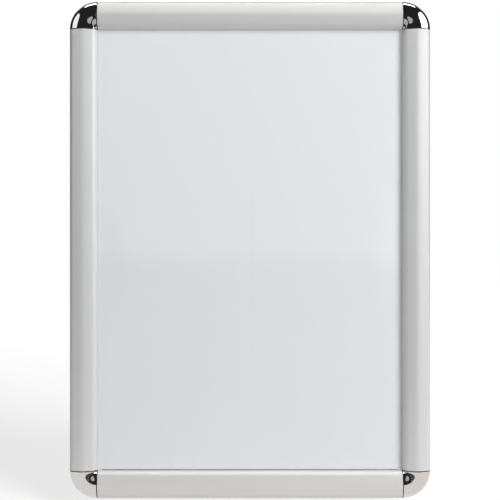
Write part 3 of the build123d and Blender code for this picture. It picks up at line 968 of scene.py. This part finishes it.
@dataclass
class Insert:
    """The blank folded insert, and the clear film that lies on it."""

    fold_height: float = -7 * MM
    crease_top: float = 62 * MM
    crease_bottom: float = -122 * MM
    ridge: float = 1.5 * MM
    ridge_above: float = 60 * MM
    ridge_below: float = 32 * MM
    fold_softness: float = 9 * MM
    flat_border: float = 12 * MM
    border_fade: float = 26 * MM
    groove_depth: float = 0.09 * MM
    groove_width: float = 0.5 * MM
    groove_fade: float = 20 * MM
    wave_height: float = 0.12 * MM
    wave_reach: Range = (58 * MM, 83 * MM)
    wave_start: Range = (0.7, 0.4)
    resting_lift: float = 0.15 * MM
    corner_radius: float = 2 * MM
    air: float = 0.02 * MM
    usual_step: float = 4 * MM
    crease_steps: Range = (1.5 * MM, 0.25 * MM)
    fold_steps: Range = (14 * MM, 1 * MM)

    def lift(self, x: np.ndarray, z: np.ndarray, half: Range) -> np.ndarray:
        """How far the folded sheet stands off the board.

        Args:
            x: Places across.
            z: Places up.
            half: Half the sheet's width and height.

        Returns:
            The lift at each place.
        """
        rise = z - self.fold_height
        rounded = np.sqrt(rise**2 + self.fold_softness**2) - self.fold_softness
        reach = np.where(rise > 0, self.ridge_above, self.ridge_below)
        ridge = self.ridge * np.exp(-rounded / reach)
        fade = np.ones_like(x)
        for place, limit in ((x, half[0]), (z, half[1])):
            inside = (limit - np.abs(place) - self.flat_border) / self.border_fade
            eased = np.clip(inside, 0, 1)
            fade = fade * eased * eased * (3 - 2 * eased)
        across = np.sin(x / self.wave_reach[0] + self.wave_start[0])
        up = np.sin(z / self.wave_reach[1] + self.wave_start[1])
        return (ridge + self.wave_height * across * up + self.resting_lift) * fade

    def groove(self, x: np.ndarray, z: np.ndarray) -> np.ndarray:
        """Depth of the pressed line of the upright fold.

        Args:
            x: Places across.
            z: Places up.

        Returns:
            The depth at each place.
        """
        across = np.exp(-((x / self.groove_width) ** 2))
        below_top = np.clip((self.crease_top - z) / self.groove_fade, 0, 1)
        above_bottom = np.clip((z - self.crease_bottom) / self.groove_fade, 0, 1)
        return self.groove_depth * across * (below_top * above_bottom)

    def divisions(self, half: float, fold: float, spread: float, fine: float) -> np.ndarray:
        """Places across a sheet, closer together near a fold.

        Args:
            half: Half the sheet's size.
            fold: Where the fold lies.
            spread: How far on each side of it the spacing is fine.
            fine: Spacing there.

        Returns:
            The places, in order.
        """
        usual = np.linspace(-half, half, int(round(2 * half / self.usual_step)) + 1)
        near = np.arange(fold - spread, fold + spread + fine / 2, fine)
        usual = usual[np.abs(usual - fold) > spread + fine / 2]
        return np.sort(np.concatenate([usual, near]))

    @staticmethod
    def skin(across: int, up: int) -> list[list[int]]:
        """Faces of a closed sheet: its front, its back and the rim between them.

        Args:
            across: Number of points across the front.
            up: Number of points up the front.

        Returns:
            Corner indices of each face.
        """
        count = across * up
        faces = []
        for i in range(across - 1):
            for j in range(up - 1):
                quad = [i * up + j, (i + 1) * up + j, (i + 1) * up + j + 1, i * up + j + 1]
                faces.append(quad)
                faces.append([count + k for k in reversed(quad)])
        rim = [i * up for i in range(across)]
        rim += [(across - 1) * up + j for j in range(1, up)]
        rim += [i * up + up - 1 for i in range(across - 2, -1, -1)]
        rim += list(range(up - 2, 0, -1))
        for here, there in zip(rim, rim[1:] + rim[:1]):
            faces.append([here, here + count, there + count, there])
        return faces

    def sheet(
        self, name: str, node: str, finish: Finish, grooved: bool
    ) -> bpy.types.Object:
        """Make one of the two sheets, which lies where its CAD node does.

        Args:
            name: Name of the piece.
            node: CAD node that it stands for.
            finish: Finish of the sheet.
            grooved: Whether the upright fold is pressed into it.

        Returns:
            The sheet.
        """
        low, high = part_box(node)
        half = (high.x, high.z)
        xs = self.divisions(half[0], 0.0, *self.crease_steps)
        zs = self.divisions(half[1], self.fold_height, *self.fold_steps)
        x, z = np.meshgrid(xs, zs, indexing="ij")
        lift = self.lift(x, z, half)
        if grooved:
            lift = lift - self.groove(x, z) * (lift > 0)
        x, z = self.rounded(x, z, half)
        front = np.stack([x, low.y + self.air - lift, z], -1)
        back = np.stack([x, high.y - self.air - lift, z], -1)
        points = np.concatenate([front.reshape(-1, 3), back.reshape(-1, 3)])
        piece = mesh_piece(name, points, self.skin(*x.shape))
        finish.dress(piece)
        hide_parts(node)
        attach(piece, "frame")
        return piece

    def rounded(
        self, x: np.ndarray, z: np.ndarray, half: Range
    ) -> tuple[np.ndarray, np.ndarray]:
        """Pull the grid's corners in to the sheet's cut corner radius.

        Args:
            x: Places across.
            z: Places up.
            half: Half the sheet's width and height.

        Returns:
            The moved places.
        """
        inner_x, inner_z = half[0] - self.corner_radius, half[1] - self.corner_radius
        over_x = np.clip(np.abs(x) - inner_x, 0, None)
        over_z = np.clip(np.abs(z) - inner_z, 0, None)
        reach = np.hypot(over_x, over_z)
        square = np.maximum(over_x, over_z)
        share = np.divide(square, reach, out=np.ones_like(reach), where=reach > 0)
        x = np.sign(x) * (np.minimum(np.abs(x), inner_x) + over_x * share)
        z = np.sign(z) * (np.minimum(np.abs(z), inner_z) + over_z * share)
        return x, z

    def build(self) -> list[bpy.types.Object]:
        """Make the insert and the film.

        Returns:
            The two sheets.
        """
        creases = (self.fold_height, self.crease_top, self.crease_bottom)
        paper = Paper("insert_paper_white", (0.90, 0.91, 0.93), 0.75, *creases)
        film = ClearFilm("clear_film_matt", (0.86, 0.87, 0.895), 0.42, 0.15, WINDOW)
        insert = self.sheet("insert_sheet", "poster_sheet", paper, grooved=True)
        cover = self.sheet("clear_film", "cover_sheet", film, grooved=False)
        return [insert, cover]


class Shape(Enum):
    """How a studio card is cut and set up."""

    SQUARE = "square and facing the frame"
    ROUNDED = "rounded and facing the frame"
    LEVEL = "square and level"


@dataclass
class Card:
    """A flat studio card that only shows in metal and film."""

    name: str
    centre: Point
    size: Range
    colour: Colour
    strength: float
    shape: Shape = Shape.SQUARE
    round_steps: int = 48
    squareness: float = 0.8

    def corners(self) -> list[Range]:
        """Corners of the card as shares of its half sizes.

        Returns:
            The corners, in order.
        """
        if self.shape is not Shape.ROUNDED:
            return [(-1, -1), (1, -1), (1, 1), (-1, 1)]
        spots = []
        for step in range(self.round_steps):
            angle = math.tau * step / self.round_steps
            across, up = (
                math.copysign(abs(reach) ** self.squareness, reach)
                for reach in (math.cos(angle), math.sin(angle))
            )
            spots.append((across, up))
        return spots

    def build(self) -> bpy.types.Object:
        """Stand the card in place, facing the frame, or lay it level.

        Returns:
            The card.
        """
        half_width, half_height = self.size[0] / 2, self.size[1] / 2
        centre = Vector(self.centre)
        turn = (FRAME_MIDDLE - centre).to_track_quat("Z", "Y").to_matrix()
        if self.shape is Shape.LEVEL:
            turn = Matrix.Identity(3)
        points = np.array([
            tuple(centre + turn @ Vector((a * half_width, b * half_height, 0)))
            for a, b in self.corners()
        ])
        card = mesh_piece(self.name, points, [tuple(range(len(points)))], smooth=False)
        tree = Tree(self.name)
        glow = tree.add("ShaderNodeEmission", Color=self.colour, Strength=self.strength)
        tree.link(glow.outputs[0], tree.output.inputs["Surface"])
        tree.nodes.remove(tree.shader)
        card.data.materials.append(tree.material)
        card.visible_camera = False
        card.visible_diffuse = False
        card.visible_transmission = False
        card.visible_shadow = False
        return card


@dataclass
class Lamp:
    """A soft area lamp, set by how brightly it lights what faces it."""

    name: str
    centre: Point
    size: float
    level: float

    def build(self) -> bpy.types.Object:
        """Hang the lamp in place, facing the frame.

        Returns:
            The lamp.
        """
        data = bpy.data.lights.new(self.name, "AREA")
        data.shape = "SQUARE"
        data.size = self.size
        away = FRAME_MIDDLE - Vector(self.centre)
        data.energy = self.level * math.pi**2 * away.length_squared
        lamp = bpy.data.objects.new(self.name, data)
        bpy.context.scene.collection.objects.link(lamp)
        lamp.location = self.centre
        lamp.rotation_mode = "QUATERNION"
        lamp.rotation_quaternion = away.to_track_quat("-Z", "Y")
        lamp.visible_glossy = False
        return lamp


@dataclass
class Studio:
    """Floor, backdrop light, lamps and reflecting cards.

    The frame hangs a little above the floor, so that its bottom rail has room to swing open.
    """

    frame_bottom: float
    swing_room: float = 10 * MM
    floor_reach: float = 14.0
    floor_colours: tuple[Colour, Colour] = ((0.60, 0.60, 0.595), (0.61, 0.61, 0.605))
    floor_roughness: float = 0.9
    floor_gloss: float = 0.1
    speckle_cycles: float = 40
    soft_level: float = 0.15
    glow_reach: Range = (0.3, 3.2)
    glow_levels: Range = (0.58, 0.88)
    lamps: tuple[Lamp, ...] = (
        Lamp("key_lamp", (1.5, -1.6, 1.75), 1.0, 0.32),
        Lamp("right_lamp", (2.1, -1.7, 0.5), 1.0, 0.50),
        Lamp("left_lamp", (-2.6, -1.6, 0.4), 1.0, 0.11),
        Lamp("front_lamp", (0.0, -2.2, 0.0), 1.0, 0.13),
        Lamp("back_lamp", (0.7, 1.7, 1.0), 1.0, 0.35),
    )
    cards: tuple[Card, ...] = (
        Card("front_room_card", (0.0, -1.7, 0.90), (3.6, 2.8), BLACK, 1.0),
        Card("left_room_card", (-1.9, -0.6, 0.7), (2.4, 2.8), BLACK, 1.0),
        Card("right_room_card", (1.9, -0.6, 0.7), (2.4, 2.8), BLACK, 1.0),
        Card("ceiling_card", (0.0, -0.6, 1.9), (3.6, 2.6), BLACK, 1.0, Shape.LEVEL),
        Card("front_panel_card", (0.0, -1.65, 0.13), (0.52, 0.30), WHITE, 0.55, Shape.ROUNDED),
        Card("right_softbox_card", (1.35, -0.95, 0.70), (0.85, 1.25), WHITE, 4.8, Shape.ROUNDED),
        Card("left_softbox_card", (-1.35, -0.95, 0.78), (0.63, 0.95), WHITE, 1.35, Shape.ROUNDED),
        Card("overhead_strip_card", (0.0, -0.35, 1.35), (1.6, 0.35), WHITE, 7.4),
        Card("near_table_card", (0.0, -0.086, TABLE_TOP), (5.0, 0.148), BEIGE, 1.0, Shape.LEVEL),
        Card("middle_table_card", (0.0, -0.58, TABLE_TOP), (5.0, 0.84), BLACK, 2.0, Shape.LEVEL),
        Card("far_table_card", (0.0, -1.835, TABLE_TOP), (5.0, 1.67), BEIGE, 0.62, Shape.LEVEL),
        Card("left_flag_card", (-1.0, 0.5, 0.1), (1.2, 1.8), BLACK, 1.0),
        Card("right_flag_card", (1.0, 0.5, 0.1), (1.2, 1.8), BLACK, 1.0),
        Card("top_flag_card", (0.0, 0.6, 1.2), (1.6, 1.0), BLACK, 1.0),
    )

    def floor(self) -> bpy.types.Object:
        """Lay the pale floor under the frame.

        Returns:
            The floor.
        """
        reach, height = self.floor_reach, self.frame_bottom - self.swing_room
        corners = [(-reach, -reach), (reach, -reach), (reach, reach), (-reach, reach)]
        points = np.array([(x, y, height) for x, y in corners])
        floor = mesh_piece("floor", points, [(0, 1, 2, 3)], smooth=False)
        tree = Tree("pale_floor")
        speckle = tree.noise(self.speckle_cycles)
        across, away = tree.axis(X_AXIS), tree.axis(Y_AXIS)
        squares = [tree.maths("MULTIPLY", part, part) for part in (across, away)]
        distance = tree.maths("SQRT", tree.maths("ADD", *squares))
        glow = tree.remap(distance, self.glow_reach, self.glow_levels)
        tree.set(
            Base_Color=tree.blend(speckle, *self.floor_colours),
            Roughness=self.floor_roughness,
            Specular_IOR_Level=self.floor_gloss,
            Emission_Color=PLAIN_WHITE,
            Emission_Strength=tree.maths("MULTIPLY", self.seen(tree.material.node_tree), glow),
        )
        floor.data.materials.append(tree.material)
        return floor

    @staticmethod
    def seen(node_tree: bpy.types.NodeTree) -> Socket:
        """Value of 1 for what the camera, metal or glass sees, and 0 for soft light.

        Args:
            node_tree: Tree to add the nodes to.

        Returns:
            The value's socket.
        """
        path = node_tree.nodes.new("ShaderNodeLightPath")
        seen = path.outputs["Is Camera Ray"]
        for ray in ("Is Glossy Ray", "Is Transmission Ray"):
            either = node_tree.nodes.new("ShaderNodeMath")
            either.operation = "MAXIMUM"
            node_tree.links.new(seen, either.inputs[0])
            node_tree.links.new(path.outputs[ray], either.inputs[1])
            seen = either.outputs[0]
        return seen

    def backdrop(self) -> None:
        """Make the world plain white to the eye, and a softer light for the object."""
        world = bpy.data.worlds.new("white_studio")
        world.use_nodes = True
        nodes, links = world.node_tree.nodes, world.node_tree.links
        background = next(n for n in nodes if n.type == "BACKGROUND")
        background.inputs["Color"].default_value = (*PLAIN_WHITE, 1.0)
        strength = nodes.new("ShaderNodeMapRange")
        links.new(self.seen(world.node_tree), strength.inputs["Value"])
        strength.inputs["To Min"].default_value = self.soft_level
        strength.inputs["To Max"].default_value = 1.0
        links.new(strength.outputs["Result"], background.inputs["Strength"])
        bpy.context.scene.world = world

    def build(self) -> list[bpy.types.Object]:
        """Set the whole studio up.

        Returns:
            The floor, the lamps and the cards.
        """
        self.backdrop()
        return [self.floor(), *[thing.build() for thing in (*self.lamps, *self.cards)]]


@dataclass
class PhotoCamera:
    """Camera that looks straight at the frame, as the photograph does."""

    distance: float = 0.75
    focus_depth: float = 5 * MM
    seen_width: float = 453.7 * MM
    sensor: float = 36.0
    clip: Range = (0.01, 100.0)

    def build(self) -> bpy.types.Object:
        """Set the camera up and make it the scene's own.

        Returns:
            The camera.
        """
        data = bpy.data.cameras.new("photo_camera")
        data.sensor_width = self.sensor
        data.lens = self.sensor * (self.distance - self.focus_depth) / self.seen_width
        data.clip_start, data.clip_end = self.clip
        camera = bpy.data.objects.new("photo_camera", data)
        bpy.context.scene.collection.objects.link(camera)
        camera.location = (0.0, -self.distance, 0.0)
        camera.rotation_euler = (math.pi / 2, 0.0, 0.0)
        bpy.context.scene.camera = camera
        return camera


def main() -> None:
    """Dress the frame, build its new pieces and set the studio up around it."""
    logging.basicConfig(level=logging.INFO, format="%(message)s")
    finishes = Finishes()
    made = [
        *Rails(finishes).dress(),
        *Corners(finishes).dress(),
        *Fixings(finishes).dress(),
        *Springs(finishes).build_all(),
        *Insert().build(),
        *Studio(frame_bottom=CAD_BOX[0].z).build(),
        PhotoCamera().build(),
    ]
    for piece in made:
        log.info("ready: %s", piece.name)
    view = bpy.context.scene.view_settings
    view.view_transform = "Standard"


if __name__ == "__main__":
    main()
